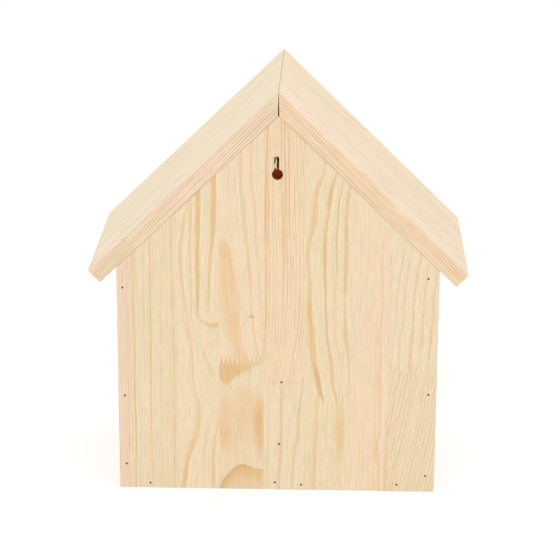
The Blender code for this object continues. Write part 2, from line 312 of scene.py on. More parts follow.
def fingers(across):
    """Zigzag of a finger joint: goes from -1 to 1 and back once for each tooth."""
    return across.math("PINGPONG", TOOTH_PITCH / 2) * (4 / TOOTH_PITCH) - 1.0


def ring_profile(graph, turns):
    """One growth ring for each whole turn: pale, slowly darker, then a sharp end."""
    corners = [(0.0, 0.0), (0.45, 0.10), (0.80, 0.62), (0.90, 1.0), (0.97, 0.25), (1.0, 0.0)]
    return graph.curve(turns.math("FRACT"), corners, "VECTOR")


def wood_surface(graph, tone, place, late, ring, resin, line, end_grain, grain, mottle=1.0):
    """Colour and roughness of pine, and its relief.

    tone is the stave's own colour and place its (across, up, deep) position in mm. late, ring,
    resin and line are the shares of wide bands, fine rings, resin stains and glue lines. grain
    is the noise that stands out as relief, and mottle is how strong the greenish and pinkish
    streaks are.
    """
    across, up, deep = place
    fibre = graph.noise(across / 0.8, up / 17, deep / 0.8, detail=2.0)
    streak = graph.noise(across / 2.4, up / 60, deep / 2.4, detail=2.0)
    late = late + (fibre * 0.30 + streak * 0.30) * (late + 0.25)
    bands = graph.ramp((late + 0.25) * 0.8, [
        (0.0, from_pale(EARLY)), (0.2, WHITE), (0.42, from_pale(LATE, 0.45)), (0.70, from_pale(LATE)),
        (1.0, from_pale(DEEP))])
    colour = graph.times(tone, bands)
    colour = graph.times(colour, graph.blend(WHITE, from_pale(RING), ring))
    colour = graph.times(colour, graph.blend(WHITE, from_pale(RESIN), resin))
    hue = graph.noise(across / 5, up / 45, deep / 5, detail=2.0)
    warm = graph.ramp(hue + 0.5, [(0.3, tinted((0.970, 1.0, 0.950), mottle)), (0.5, WHITE),
                                  (0.7, tinted((1.0, 0.968, 0.962), mottle))])
    colour = graph.times(colour, warm)
    fleck = graph.noise(across / 0.55, up / 3.2, deep / 0.55).smooth(0.20, 0.30)
    ripple = graph.noise(across / 3, up / 7, deep / 3)
    shade = fibre * 0.35 + streak * 0.16 + ripple * 0.06 - fleck * 0.05 - line * 0.16 - end_grain * 0.10 + 1.0
    colour = graph.times(colour, graph.grey(shade))
    graph.bump(grain * 0.8 - line * 0.5 + 0.5, 0.06 * MM)
    return colour, streak * 0.10 + end_grain * 0.12 + 0.56


def stave_pine(name, ways, seed, piece=PIECE, spacing=(1.9, 4.1), contrast=1.0, edge_contrast=1.6,
               tones=PLAIN_TONES, edge=WHITE, joint=None, mottle=1.0):
    """Edge-glued board whose staves each get their own rings, cut and tone.

    ways are the board's directions across its staves, along their grain and through them. piece is
    how far apart finger joints are, and spacing is the range of ring widths, in mm. edge tints the
    two faces that look across the staves, and edge_contrast is how strong their rings are. joint is
    where stave number 0 has its finger joint; without it, joints are anywhere.
    """
    graph = Graph(name)
    across_way, up_way, deep_way = ways
    across = graph.along(across_way) + seed * SEED_SHIFT
    up = graph.along(up_way)
    deep = graph.along(deep_way)
    end_grain = graph.facing(up_way, 0.75, 0.95)
    side = graph.facing(across_way, 0.75, 0.95)
    number = (across / STAVE).math("FLOOR")
    middle = (number + 0.5) * STAVE
    if joint is None:
        start = up + graph.random(number, seed)[0] * piece
    else:
        start = up - joint - number * (JOINT_STAGGER * piece)
    grown = start + fingers(across) * TOOTH_REACH
    block = (grown / piece).math("FLOOR")
    centre, depth, spread = graph.random(number, block, seed + 3.0)
    tint, sway, taper = graph.random(number, block, seed + 5.0)
    swing = graph.noise(up / 130, number * 7.3, block * 3.1) * (sway * 16 + 4)
    to_pith_across = across - middle - (centre - 0.5) * PITH_SWAY + swing
    to_pith_deep = deep + depth * PITH_DEPTH[1] + PITH_DEPTH[0]
    radius = distance(to_pith_across, to_pith_deep) + up * (taper - 0.5) * 0.07
    turns = radius / (spread * (spacing[1] - spacing[0]) + spacing[0])
    turns = turns + graph.noise(turns * 0.45, number, block) * 1.2
    strength = graph.noise(turns.math("FLOOR") * 3.7, number, up / 160) * 1.3 + 0.6
    strength = strength * (graph.noise(across / 6, up / 30, deep / 4) * 1.3 + 1.0)
    ring = ring_profile(graph, turns) * strength * (side * (edge_contrast - contrast) + contrast)
    tone = graph.ramp(tint, [(index / (len(tones) - 1), linear(shade)) for index, shade in enumerate(tones)])
    tone = graph.times(tone, edge, side)
    seam = ((across - middle).math("ABSOLUTE") - (STAVE / 2 - SEAM_WIDTH)).smooth(0.0, SEAM_WIDTH, 0.0, 0.5)
    gap = ((grown / piece).math("FRACT") * piece).smooth(0.0, 0.9, 0.8, 0.0)
    line = seam.math("MAXIMUM", gap)
    grain = graph.noise(across / 0.5, up / 20, deep / 0.5, detail=2.0)
    place = (across + swing, up, deep)
    late = ((ring - 0.55) * 0.9).math("MAXIMUM", 0.0)
    colour, roughness = wood_surface(graph, tone, place, late, ring * 0.75, 0.0, line, end_grain, grain,
                                     mottle)
    return graph.finish(colour, roughness)


# ---- back panel

PEAK = 340.0                # height of the gable, rounded


class Grain(NamedTuple):
    """Figure of one stave piece of the back panel.

    Fine growth rings run between two guide lines, each given as (up, across) points; rings is how
    many of them fit between the guides, fine how strong they are and wobble how uneven. Ribbons
    are wide bands of latewood, each with (up, across, half width, strength) points, and stains
    are the same in resin.
    """

    tone: tuple
    left: list
    right: list
    rings: float
    fine: float
    wobble: float
    ribbons: tuple = ()
    stains: tuple = ()


def straight(start, lean=0.0):
    """A guide that starts at a place on the ground and leans by so many mm up to the peak."""
    return [(0, start), (PEAK, start + lean)]


STAVE_A = Grain(
    (238, 217, 181), straight(2, -4), straight(52, 2), 18, 0.58, 0.45, (
    ((0, 8, 1.2, 0.2), (120, 9, 1.0, 0.3), (250, 8, 1.0, 0.2)),
    ((0, 14.5, 1.0, 0.3), (80, 15, 1.2, 0.4), (250, 15, 1.0, 0.3)),
    ((0, 30, 1.0, 0.2), (120, 29, 1.2, 0.4), (250, 30, 1.0, 0.3)),
    ((0, 49, 1.1, 0.4), (120, 49.5, 1.2, 0.4), (250, 48, 1.0, 0.3)),
))

STAVE_B = Grain(
    (240, 218, 184),
    [(0, 56), (31, 61), (56, 69), (76, 71), (97, 66.5), (134, 64.5), (160, 60.8), (200, 56), (220, 55.2),
     (250, 59), (300, 64)],
    [(0, 84), (40, 84), (65, 88), (150, 80), (200, 80.5), (235, 84), (300, 84)], 7, 0.3, 1.0, (
    ((0, 56, 2.6, 0.5), (9, 58, 2.4, 0.7), (22, 59.5, 2.6, 0.6), (35, 62.5, 3.0, 0.55),
     (42, 64.5, 3.2, 0.62), (51, 68, 3.4, 0.45), (64, 70.5, 3.2, 0.4), (76, 71, 2.4, 0.4),
     (86, 69.5, 1.8, 0.32), (97, 66.5, 1.5, 0.32), (110, 66, 1.4, 0.42), (130, 64.8, 1.4, 0.42),
     (150, 62, 1.2, 0.36), (160, 60.8, 1.2, 0.36), (182, 58.2, 1.4, 0.42), (198, 56.4, 1.8, 0.48),
     (220, 55.2, 1.6, 0.52), (231, 56.8, 1.6, 0.5), (250, 59.2, 1.4, 0.46), (265, 62.5, 1.3, 0.4),
     (290, 66, 1.0, 0.3)),
    ((150, 67, 0.8, 0.0), (160, 65.7, 0.9, 0.32), (180, 64.5, 1.1, 0.4), (205, 64, 1.4, 0.42),
     (230, 64, 1.1, 0.42), (262, 64.8, 1.4, 0.45), (280, 66, 1.4, 0.4)),
    ((158, 70.2, 1.2, 0.0), (164, 70.3, 1.5, 0.5), (180, 70.7, 1.9, 0.72), (200, 70.5, 2.2, 0.74),
     (235, 70.6, 2.5, 0.74), (274, 70.9, 2.5, 0.72), (290, 71.5, 2.2, 0.6)),
    ((160, 79.5, 1.0, 0.0), (166, 79.5, 1.3, 0.4), (180, 79.6, 1.9, 0.56), (200, 80.5, 2.0, 0.56),
     (220, 82.2, 2.0, 0.62), (235, 83.5, 2.4, 0.74), (245, 84.2, 2.7, 0.76), (288, 84.4, 2.7, 0.74)),
    ((158, 87, 0.8, 0.0), (166, 86.6, 0.9, 0.3), (178, 86.8, 0.9, 0.0)),
    ((104, 84, 3.0, 0.0), (110, 82, 3.2, 0.32), (118, 80, 2.0, 0.42), (126, 76.5, 1.4, 0.42),
     (132, 73.5, 1.2, 0.0)),
    ((0, 84, 2.0, 0.35), (9, 83.6, 2.1, 0.55), (38, 83.8, 2.0, 0.5), (50, 85.5, 1.4, 0.4),
     (65, 88, 2.4, 0.36), (80, 89, 1.8, 0.0)),
    ((0, 76, 1.2, 0.0), (30, 75, 1.6, 0.22), (52, 77.5, 1.8, 0.3), (66, 80, 1.4, 0.0)),
))

STAVE_C_TOP = Grain(
    (241, 217, 184),
    [(100, 107), (130, 104), (152, 101), (190, 97), (231, 95), (330, 95)],
    [(110, 128), (161, 126.5), (196, 123.8), (233, 121.3), (277, 117.5), (330, 116)], 7, 0.22, 1.0, (
    ((110, 126, 1.2, 0.3), (122, 124, 1.2, 0.42), (136, 121.2, 1.2, 0.46), (145, 120, 1.3, 0.46),
     (155, 118.5, 1.1, 0.42), (180, 117, 1.2, 0.3), (204, 116, 1.7, 0.42), (220, 114.5, 1.3, 0.4),
     (240, 111.8, 1.8, 0.45), (260, 110, 1.4, 0.46), (280, 108.2, 1.3, 0.45), (320, 107.6, 1.4, 0.45)),
    ((150, 127.5, 1.0, 0.2), (165, 126.5, 1.0, 0.32), (185, 124.5, 1.0, 0.3), (215, 123, 1.1, 0.36),
     (240, 120.7, 1.2, 0.42), (262, 120.2, 1.2, 0.42), (275, 118.5, 1.2, 0.46), (290, 116.8, 1.3, 0.46),
     (320, 116.5, 1.3, 0.45)),
), (
    ((110, 115, 4.8, 0.9), (124, 110, 5.0, 0.95), (130, 107, 5.6, 0.95), (140, 103.5, 6.6, 0.95),
     (150, 101.3, 7.8, 0.9), (160, 100, 9.0, 0.85), (175, 98, 10.2, 0.8), (190, 96.6, 10.6, 0.84),
     (205, 95.6, 9.2, 0.88), (219, 94.6, 6.8, 1.0), (226, 93.8, 5.0, 0.9), (236, 92.5, 2.2, 0.0)),
))

STAVE_C_FOOT = Grain((237, 213, 177), straight(92), straight(126), 5, 0.12, 2.0, (
    ((26, 125.4, 3.6, 0.0), (35, 124.8, 4.6, 0.32), (45, 124.4, 5.0, 0.64), (54, 123.8, 5.4, 0.78),
     (66, 123.6, 5.6, 0.8), (74, 124, 5.2, 0.64), (82, 124.4, 4.8, 0.42), (93, 126, 3.0, 0.0)),
))

STAVE_D_TOP = Grain(
    (243, 217, 181),
    [(90, 126), (130, 129), (160, 130.4), (200, 130.6), (260, 129.8), (330, 131)],
    [(90, 153), (130, 160.5), (157, 164.5), (200, 166), (260, 164.5), (330, 160)], 12, 1.0, 0.4, (
    ((120, 129.5, 1.0, 0.0), (160, 130, 1.4, 0.35), (220, 130, 1.6, 0.45), (262, 129.9, 1.7, 0.52),
     (330, 130.5, 1.5, 0.45)),
    ((190, 145, 1.0, 0.0), (225, 145.6, 1.3, 0.42), (262, 145.4, 1.3, 0.45), (320, 145, 1.1, 0.3)),
    ((225, 149.2, 0.9, 0.0), (262, 149.5, 1.1, 0.42), (320, 149, 1.0, 0.35)),
))

STAVE_D_FOOT = Grain(
    (238, 218, 185), [(0, 139), (60, 145), (100, 143)], [(0, 153), (60, 158), (100, 163)], 4, 0.3, 1.0, (
    ((0, 141, 1.6, 0.42), (33, 143, 1.7, 0.5), (68, 144, 1.8, 0.5), (93, 143.8, 2.0, 0.48),
     (104, 144, 1.6, 0.3)),
    ((0, 153.5, 1.5, 0.35), (33, 155, 1.7, 0.42), (52, 158.8, 2.0, 0.46), (71, 159.2, 1.8, 0.46),
     (96, 161.8, 1.8, 0.45), (104, 162, 1.6, 0.3)),
    ((0, 131, 0.9, 0.2), (50, 132, 1.0, 0.3), (100, 133, 0.9, 0.2)),
))

STAVE_E_TOP = Grain(
    (239, 218, 182),
    [(80, 180), (92, 178), (106, 175.5), (122, 171.2), (150, 170), (168, 168), (201, 167), (223, 166),
     (243, 170), (264, 172), (280, 174), (302, 181)],
    [(87, 204), (113, 203), (135, 200.9), (157, 199), (202, 198.8), (258, 199), (281, 201.4), (302, 206)],
    9, 0.34, 0.8, (
    ((80, 181, 1.5, 0.8), (91, 178.3, 2.2, 0.92), (99, 176.6, 2.6, 0.95), (106, 175.4, 3.2, 0.92),
     (113, 173.8, 3.2, 0.88), (121, 172, 2.8, 0.66), (135, 170.6, 2.9, 0.62), (150, 169.8, 3.0, 0.62),
     (160, 168.4, 2.5, 0.76), (170, 167.9, 2.6, 0.82), (180, 167.6, 2.2, 0.7), (190, 168.2, 2.1, 0.58),
     (201, 167.5, 1.8, 0.52), (212, 166.5, 1.6, 0.52), (223, 166.2, 1.6, 0.48), (232, 167.3, 1.8, 0.5),
     (243, 170, 2.5, 0.5), (256, 171.6, 3.0, 0.48), (266, 171.8, 2.6, 0.52), (280, 173.9, 1.8, 0.55),
     (288, 177.8, 1.6, 0.5), (297, 180.2, 1.6, 0.4)),
    ((80, 193, 1.2, 0.5), (89, 191.4, 1.3, 0.62), (95, 189.6, 1.6, 0.6), (104, 188.2, 1.8, 0.56),
     (113, 188, 1.8, 0.58), (124, 186.8, 1.7, 0.58), (135, 184.9, 1.5, 0.56), (146, 183.3, 1.6, 0.56),
     (157, 182.4, 1.9, 0.58), (168, 181.6, 1.4, 0.62), (190, 181.3, 1.5, 0.66), (201, 181, 1.6, 0.7),
     (212, 180.6, 2.3, 0.78), (219, 180.3, 2.7, 0.8), (229, 180.5, 2.4, 0.72), (247, 181.8, 2.0, 0.6),
     (256, 183.2, 1.8, 0.54), (266, 183.8, 2.1, 0.68), (275, 184.9, 2.0, 0.66), (283, 186.6, 1.8, 0.56),
     (290, 189.2, 1.5, 0.45), (300, 190, 1.3, 0.4)),
    ((110, 195, 0.8, 0.0), (124, 194.6, 0.9, 0.25), (135, 192, 0.9, 0.36), (150, 190.4, 1.0, 0.36),
     (180, 189.6, 1.1, 0.42), (206, 191, 1.1, 0.46), (234, 190.4, 1.2, 0.66), (250, 191, 1.2, 0.58),
     (262, 191.6, 1.2, 0.52), (273, 193.2, 1.2, 0.46), (287, 196, 1.0, 0.3)),
    ((88, 204, 0.9, 0.0), (96, 203.6, 1.1, 0.32), (113, 203, 1.2, 0.45), (126, 202, 1.4, 0.52),
     (135, 200.8, 1.9, 0.6), (144, 199.2, 2.3, 0.66), (157, 199, 2.0, 0.56), (174, 198.5, 1.2, 0.45),
     (190, 198.7, 1.8, 0.55), (220, 199, 1.9, 0.6), (236, 198.7, 1.9, 0.6), (252, 198.7, 1.5, 0.5),
     (263, 199, 1.5, 0.46), (272, 200.3, 1.5, 0.52), (282, 201.5, 1.3, 0.4)),
    ((92, 196, 0.8, 0.0), (110, 196.5, 1.0, 0.26), (128, 196, 0.9, 0.0)),
))

STAVE_E_FOOT = Grain((238, 217, 180), straight(166), straight(204), 8, 0.24, 1.5, (
    ((0, 172, 2.4, 0.3), (40, 173.5, 2.4, 0.34), (80, 175, 2.2, 0.3)),
    ((20, 182, 1.4, 0.0), (50, 183, 1.6, 0.22), (84, 184, 1.4, 0.25)),
    ((18, 195, 3.5, 0.0), (35, 195, 5.0, 0.34), (55, 195.5, 5.6, 0.46), (72, 195.5, 4.6, 0.4),
     (82, 196, 3.4, 0.22)),
))

STAVE_F = Grain(
    (242, 216, 183),
    [(0, 209), (50, 212), (120, 208), (290, 206)],
    [(0, 236), (60, 238), (150, 239), (290, 242)], 12, 0.26, 0.5, (
    ((0, 230.4, 1.4, 0.36), (14, 230.4, 1.4, 0.42), (30, 229, 2.2, 0.48), (38, 228.6, 2.4, 0.5),
     (48, 229.4, 1.6, 0.42), (60, 231, 1.4, 0.36), (84, 230.6, 1.6, 0.36), (96, 229.8, 2.2, 0.38),
     (112, 229.6, 2.2, 0.38), (128, 230, 1.3, 0.38), (150, 229.8, 1.2, 0.36), (172, 231, 1.2, 0.36),
     (190, 230.4, 1.2, 0.34), (216, 229.8, 1.0, 0.28), (240, 231.5, 1.0, 0.0)),
    ((0, 226, 1.0, 0.25), (40, 226, 1.2, 0.34), (56, 226.4, 1.3, 0.34), (90, 226.2, 0.9, 0.2),
     (140, 226.3, 1.0, 0.25), (175, 226.6, 0.9, 0.0)),
    ((0, 236.2, 1.5, 0.4), (18, 236.5, 1.6, 0.44), (36, 236.8, 1.5, 0.36), (54, 237.4, 1.5, 0.36),
     (66, 237.8, 1.7, 0.46), (84, 238.6, 1.2, 0.3), (120, 238.4, 1.1, 0.25), (175, 238.2, 1.3, 0.3),
     (200, 239.5, 1.0, 0.0)),
    ((0, 216, 0.8, 0.0), (30, 216.5, 0.9, 0.25), (70, 216, 0.8, 0.0)),
))

STAVE_G_TOP = Grain(
    (240, 219, 187),
    [(100, 241), (140, 240), (170, 241), (200, 243), (235, 248)],
    [(100, 274), (144, 273.6), (180, 276), (235, 283)], 11, 0.3, 0.6, (
    ((110, 246, 1.1, 0.36), (144, 246.6, 1.3, 0.4), (156, 248.4, 1.0, 0.34), (174, 249.6, 1.0, 0.34),
     (198, 251.6, 1.1, 0.36), (212, 253, 1.1, 0.36), (230, 256.5, 1.0, 0.3)),
    ((110, 256, 1.7, 0.42), (130, 256.2, 1.8, 0.46), (143, 256.6, 1.8, 0.46), (156, 258.4, 1.1, 0.4),
     (173, 258, 1.6, 0.46), (186, 258.6, 1.2, 0.42), (203, 260.4, 1.2, 0.44), (219, 263.4, 1.1, 0.4),
     (230, 266, 1.0, 0.3)),
    ((128, 264.5, 1.2, 0.0), (140, 265.2, 1.9, 0.46), (150, 265.6, 1.6, 0.42), (165, 266.4, 1.2, 0.34),
     (182, 267.2, 1.3, 0.36), (196, 268.4, 1.2, 0.34), (215, 271, 1.0, 0.2)),
    ((110, 271.2, 1.1, 0.3), (125, 272.2, 1.2, 0.36), (143, 273.6, 1.7, 0.42), (163, 275.2, 1.3, 0.38),
     (180, 275.7, 1.4, 0.38), (197, 276.8, 1.4, 0.38), (215, 278, 1.2, 0.3)),
    ((110, 240, 1.5, 0.3), (136, 240.5, 1.0, 0.2), (160, 242.6, 1.0, 0.3), (188, 243.8, 1.0, 0.34),
     (204, 246, 1.1, 0.36), (218, 248, 1.1, 0.36), (230, 250.2, 1.0, 0.3)),
))

STAVE_G_FOOT = Grain((240, 216, 182), [(0, 226.5), (118, 246.5)], [(0, 269), (118, 289)], 13, 0.85, 0.55)

# Left edge of each stave, height of its finger joint, its figure above the joint and below it
STAVES = (
    (0, None, STAVE_A, None),
    (52, None, STAVE_B, None),
    (89, 122, STAVE_C_TOP, STAVE_C_FOOT),
    (128, 99, STAVE_D_TOP, STAVE_D_FOOT),
    (164, 86, STAVE_E_TOP, STAVE_E_FOOT),
    (204, None, STAVE_F, None),
    (238, 114, STAVE_G_TOP, STAVE_G_FOOT),
)


# A band's strength from its left edge (-1) to its right (1): soft, full, quickly gone, then pale wood
BAND_PROFILE = [(-1.25, 0.0), (-0.15, 0.95), (0.35, 1.0), (1.1, -0.05), (1.5, -0.22), (2.8, 0.0)]

SCORCH_AND_SHADE_EDGE = (5.6, 6.2)      # from the keyhole's middle line, where the scorch and painted shade of its walls end
STAIN_EDGE = (0.7, 1.3)     # from a brad's middle, where its dark ring ends
BAND_SLANT = 0.55           # how far figures shift sideways for each mm of depth
SCORCH_AND_SHADE_LOW = (0.50, 0.105, 0.014, 1.0)      # linear colour at the keyhole's entry: its scorch, with the shade in the hole painted in
SCORCH_AND_SHADE_HIGH = (0.30, 0.155, 0.030, 1.0)     # and in its slot, the same mix of scorch and painted shade
BRAD_STAIN = (0.36, 0.22, 0.11, 1.0)


def ribbon_field(graph, ribbons, across, up):
    """Share of one piece's ribbons or stains."""
    total = None
    for points in ribbons:
        centre, half, strength = (graph.curve(up, [(point[0], point[part]) for point in points])
                                  for part in (1, 2, 3))
        profile = graph.curve((across - centre) / half, BAND_PROFILE)
        band = profile * strength
        total = total + band if total else band
    return total if total else 0.0


def patch(across, up, centre, radii, strength, core=0.2, rim=1.0):
    """Soft oval patch: full strength inside core and nothing beyond rim, as shares of its radii."""
    side = (across - centre[0]) / radii[0]
    rise = (up - centre[1]) / radii[1]
    return distance(side, rise).smooth(core, rim, strength, 0.0)


def foot_of_c(graph, across, up, rough):
    """The dark wedge under the finger joint, the tan heart and the arched ring at the foot.

    Gives the share of wide latewood and the share of resin.
    """
    wedge_edge = graph.curve(across, [
        (89, 105), (91.5, 101.5), (95, 99.5), (99, 101.5), (103, 105.5), (110, 110), (119, 116), (128, 119)])
    wedge = (up - wedge_edge + rough * 6.0).smooth(-2.5, 2.5) * across.smooth(96, 126, 0.66, 0.38)
    wedge = wedge * up.smooth(113, 124, 1.0, 0.70)
    arch_edge = graph.curve(across, [
        (89, 1.5), (91, 6), (93, 9.5), (96, 13.6), (99, 17.2), (103, 21.0), (107, 23.2), (110, 23.6),
        (114, 22.4), (119, 20.4), (123.5, 19.2), (128, 18.6)])
    arch = graph.curve(arch_edge - up, [
        (-1.0, 0.0), (0.6, 0.95), (2.2, 0.86), (5, 0.74), (9, 0.60), (13, 0.36), (20, 0.2)])
    arch = arch * across.smooth(108, 124, 1.0, 0.82)
    tan = patch(across, up, (101, 62), (22, 36), 0.55, 0.25, 1.05)
    dim = patch(across, up, (92, 50), (8, 18), 0.30)
    warm = patch(across, up, (115, 82), (12, 24), 0.35, 0.25, 1.05)
    crescent = patch(across, up, (112, 103), (17, 8), -0.22, 0.3)
    return wedge + arch + dim * 0.5 + crescent, tan + dim + warm + wedge * 0.3


def closing_rings(graph, across, up):
    """Rings of the second stave that close under its two widest bands.

    Gives the share of wide latewood and the share of resin.
    """
    middle = graph.curve(across, [(68, 166), (71, 161), (75, 157.4), (79, 154.8), (84, 153.8), (89, 155.6)])
    half = graph.curve(across, [(68, 0.9), (75, 1.4), (79, 2.2), (84, 3.0), (89, 2.6)])
    strength = graph.curve(across, [(67.5, 0.0), (70, 0.5), (76, 0.6), (81, 0.8), (86, 0.85), (89.5, 0.7)])
    bar = ((up - middle) / half).math("ABSOLUTE").smooth(0.1, 1.3, 1.0, 0.0) * strength
    blush = patch(across, up, (84, 138), (7, 4), 0.50, 0.3)
    return bar * 0.6, bar * 0.6 + blush


def pin_knot(across, up):
    """A dark knot a few millimetres wide with a short tail."""
    knot = patch(across, up, (116.8, 162.8), (3.2, 2.2), 0.9)
    return knot + patch(across, up, (119.5, 161.5), (4.0, 0.9), 0.5)


def keyhole_scorch_and_shade(x, y, z):
    """1 on the walls inside the keyhole, painted dark for their scorch and for the shade in the hole, and how
    far up it they are from 0 to 1.
    """
    openings = frame["record"]["physics"]["openings"]
    entry = next(opening["box_m"] for opening in openings if opening["name"] == "keyhole_entry")
    low, high = (Vector(corner) / MM for corner in entry)
    bottom = (low + high) / 2
    top = hanger_point()
    rise = top.z - bottom.z
    share = ((z - bottom.z) / rise).math("MAXIMUM", 0.0).math("MINIMUM", 1.0)
    away_x = x - share * (top.x - bottom.x) - bottom.x
    away_z = z - share * rise - bottom.z
    near = distance(away_x, away_z).smooth(*SCORCH_AND_SHADE_EDGE, 1.0, 0.0)
    below = y.smooth(top.y - 0.5, top.y - 0.1, 1.0, 0.0)
    return near * below, share


def brad_stain(x, z):
    """Dark ring round each brad head in the back panel."""
    total = None
    for name in frame["nodes"]:
        if "back_brad" not in name:
            continue
        low, high = box_mm(name)
        middle = (low + high) / 2
        ring = distance(x - middle.x, z - middle.z).smooth(*STAIN_EDGE, 1.0, 0.0)
        total = total + ring if total else ring
    return total


def back_panel_pine():
    """The panel's seven staves, the keyhole's scorch and painted shade, and the rings round the brads.

    Cycles keeps a material's live values on a small stack, so few are held for long.
    """
    graph = Graph("back_panel_pine")
    high = box_mm("back_panel")[1]
    x, y, up = (graph.along(way) for way in (X, Y, Z))
    end_grain = graph.facing(Z, 0.6, 0.9)
    deep = y * -1.0 + high.y
    flat = x * -1.0 + high.x
    teeth = fingers(flat)
    ragged = graph.board_noise((0.9, 2, 16)) * 0.7 + graph.board_noise((8, 8, 45)) * 1.6
    grain = graph.board_noise((0.5, 0.5, 20), detail=2.0)
    rough = graph.board_noise((2.5, 2.5, 4), detail=2.0)
    across = flat + deep * BAND_SLANT + ragged

    shares = []             # (where a figure is, the figure)
    line = None
    for left, joint, figure, foot in STAVES[1:]:
        here = flat.above(left)
        shares.append((here, figure))
        glue = (flat - left).math("ABSOLUTE").smooth(0.0, SEAM_WIDTH * 1.5, 0.22, 0.0)
        line = line.math("MAXIMUM", glue) if line else glue
        if joint:
            height = up + teeth * TOOTH_REACH - joint
            shares.append((here * (height * -1.0).above(0.0), foot))
            stave = here * (flat - left - STAVE).above(0.0) * -1.0 + here
            gap = height.math("ABSOLUTE").smooth(0.2, 1.5, 1.0, 0.0) * teeth.smooth(-0.9, -0.3, 1.0, 0.25)
            line = line.math("MAXIMUM", gap * stave)

    figure = STAVES[0][2]
    left = graph.curve(up, figure.left)
    right = graph.curve(up, figure.right)
    rings, fine, wobble, number = figure.rings, figure.fine, figure.wobble, 0.0
    tone = graph.blend(linear(figure.tone), linear(BLUSH), flat.smooth(7, 17, 1.0, 0.0))
    late = ribbon_field(graph, figure.ribbons, across, up)
    knot, resin = 0.0, 0.0
    for index, (share, figure) in enumerate(shares):
        left = graph.mix(left, graph.curve(up, figure.left), share)
        right = graph.mix(right, graph.curve(up, figure.right), share)
        rings = graph.mix(rings, figure.rings, share)
        fine = graph.mix(fine, figure.fine, share)
        wobble = graph.mix(wobble, figure.wobble, share)
        number = graph.mix(number, index + 1.0, share)
        tone = graph.blend(tone, linear(figure.tone), share)
        own = ribbon_field(graph, figure.ribbons, across, up)
        stain = ribbon_field(graph, figure.stains, across, up)
        if figure is STAVE_B:
            extra, stain = closing_rings(graph, across, up)
            own = own + extra
        elif figure is STAVE_C_TOP:
            knot = pin_knot(across, up) * share
        elif figure is STAVE_C_FOOT:
            extra, stain = foot_of_c(graph, across, up, rough)
            own = own + extra
        late = graph.mix(late, own, share)
        resin = graph.mix(resin, stain, share)
    follow = across - left
    loose = graph.noise(across / 9, up / 70, number) * 2.2
    turns = (follow + loose * wobble) / (right - left) * rings
    turns = turns + graph.noise(turns * 0.4, number) * 1.3
    weight = graph.noise(turns.math("FLOOR") * 2.9, number, up / 190) * 1.6 + 0.7
    fade = graph.noise(across / 14, up / 40, number + 0.5) * 0.5 + 1.0
    ring = ring_profile(graph, turns) * weight * fine * fade
    place = (follow + number * 40, up, deep)
    colour, roughness = wood_surface(graph, tone, place, late * fade, ring + knot, resin * fade, line,
                                     end_grain, grain, mottle=1.3)
    colour = graph.blend(colour, BRAD_STAIN, brad_stain(x, up) * 0.7)
    # Painted shade: the keyhole's walls get a dark scorched colour that also stands in for the shade inside
    # the hole
    scorch_and_shade, share = keyhole_scorch_and_shade(x, y, up)
    scorch_and_shade_colour = graph.blend(SCORCH_AND_SHADE_LOW, SCORCH_AND_SHADE_HIGH, share.smooth(0.1, 0.5))
    colour = graph.blend(colour, scorch_and_shade_colour, scorch_and_shade)
    return graph.finish(colour, graph.mix(roughness, 0.95, scorch_and_shade))


# ---- other materials

BEECH_SHIFT = 9.1           # moves the figure of one beech piece against the next one's


def beech(name, up_way, seed):
    """Smooth pale beech with the short dark flecks of its rays."""
    graph = Graph(name)
    side = Vector((up_way.z, up_way.x, up_way.y))
    up = graph.along(up_way)
    across = graph.along(side) + seed * BEECH_SHIFT
    deep = graph.along(up_way.cross(side))
    ring = graph.noise(across / 1.1, up / 60, deep / 1.1, detail=2.0)
    fleck = graph.noise(across / 0.28, up / 1.6, deep / 0.28).smooth(0.12, 0.24)
    fibre = graph.noise(across / 0.2, up / 12, deep / 0.2, detail=2.0)
    tone = graph.ramp(ring + 0.5, [(0.25, linear((226, 190, 147))), (0.5, linear((216, 176, 130))),
                                   (0.75, linear((201, 158, 113)))])
    colour = graph.blend(tone, linear((168, 118, 78)), fleck * 0.55)
    colour = graph.times(colour, graph.grey(fibre * 0.16 + 1.0))
    graph.bump(fibre * 0.5 - fleck * 0.4 + 0.5, 0.04 * MM)
    return graph.finish(colour, fibre * 0.15 + 0.48)


def brad_steel():
    """Dark annealed steel with a little rust."""
    graph = Graph("brad_steel")
    x, y, z = (graph.along(way) for way in (X, Y, Z))
    rust = graph.noise(x / 0.7, y / 0.7, z / 0.7, detail=3.0)
    colour = graph.ramp(rust + 0.5, [(0.35, (0.205, 0.140, 0.064, 1.0)), (0.6, (0.270, 0.178, 0.074, 1.0)),
                                     (0.75, (0.365, 0.195, 0.064, 1.0))])
    graph.bump(rust + 0.5, 0.02 * MM)
    return graph.finish(colour, rust * 0.2 + 0.62, 0.4)


def zinc():
    """Bright zinc plating, clouded and very finely pitted."""
    graph = Graph("screw_zinc")
    x, y, z = (graph.along(way) for way in (X, Y, Z))
    cloud = graph.noise(x / 1.3, y / 1.3, z / 1.3, detail=3.0, roughness=0.6)
    pits = graph.noise(x / 0.12, y / 0.12, z / 0.12, detail=2.0)
    colour = graph.ramp(cloud + 0.5, [(0.3, (0.52, 0.54, 0.57, 1.0)), (0.55, (0.66, 0.66, 0.66, 1.0)),
                                      (0.75, (0.70, 0.68, 0.60, 1.0))])
    graph.bump(pits + 0.5, 0.02 * MM)
    return graph.finish(colour, cloud * 0.25 + 0.30, 1.0)


# ---- board finishes


def roof_ways(side):
    """Across, down-slope and outward directions of one roof board."""
    wall_low, wall_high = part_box("right_wall")
    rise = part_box("back_panel")[1].z - wall_high.z
    pitch = math.atan2(rise, wall_low.x)
    down = Vector((side * math.cos(pitch), 0, -math.sin(pitch)))
    out = Vector((side * math.sin(pitch), 0, math.cos(pitch)))
    return Y, down, out


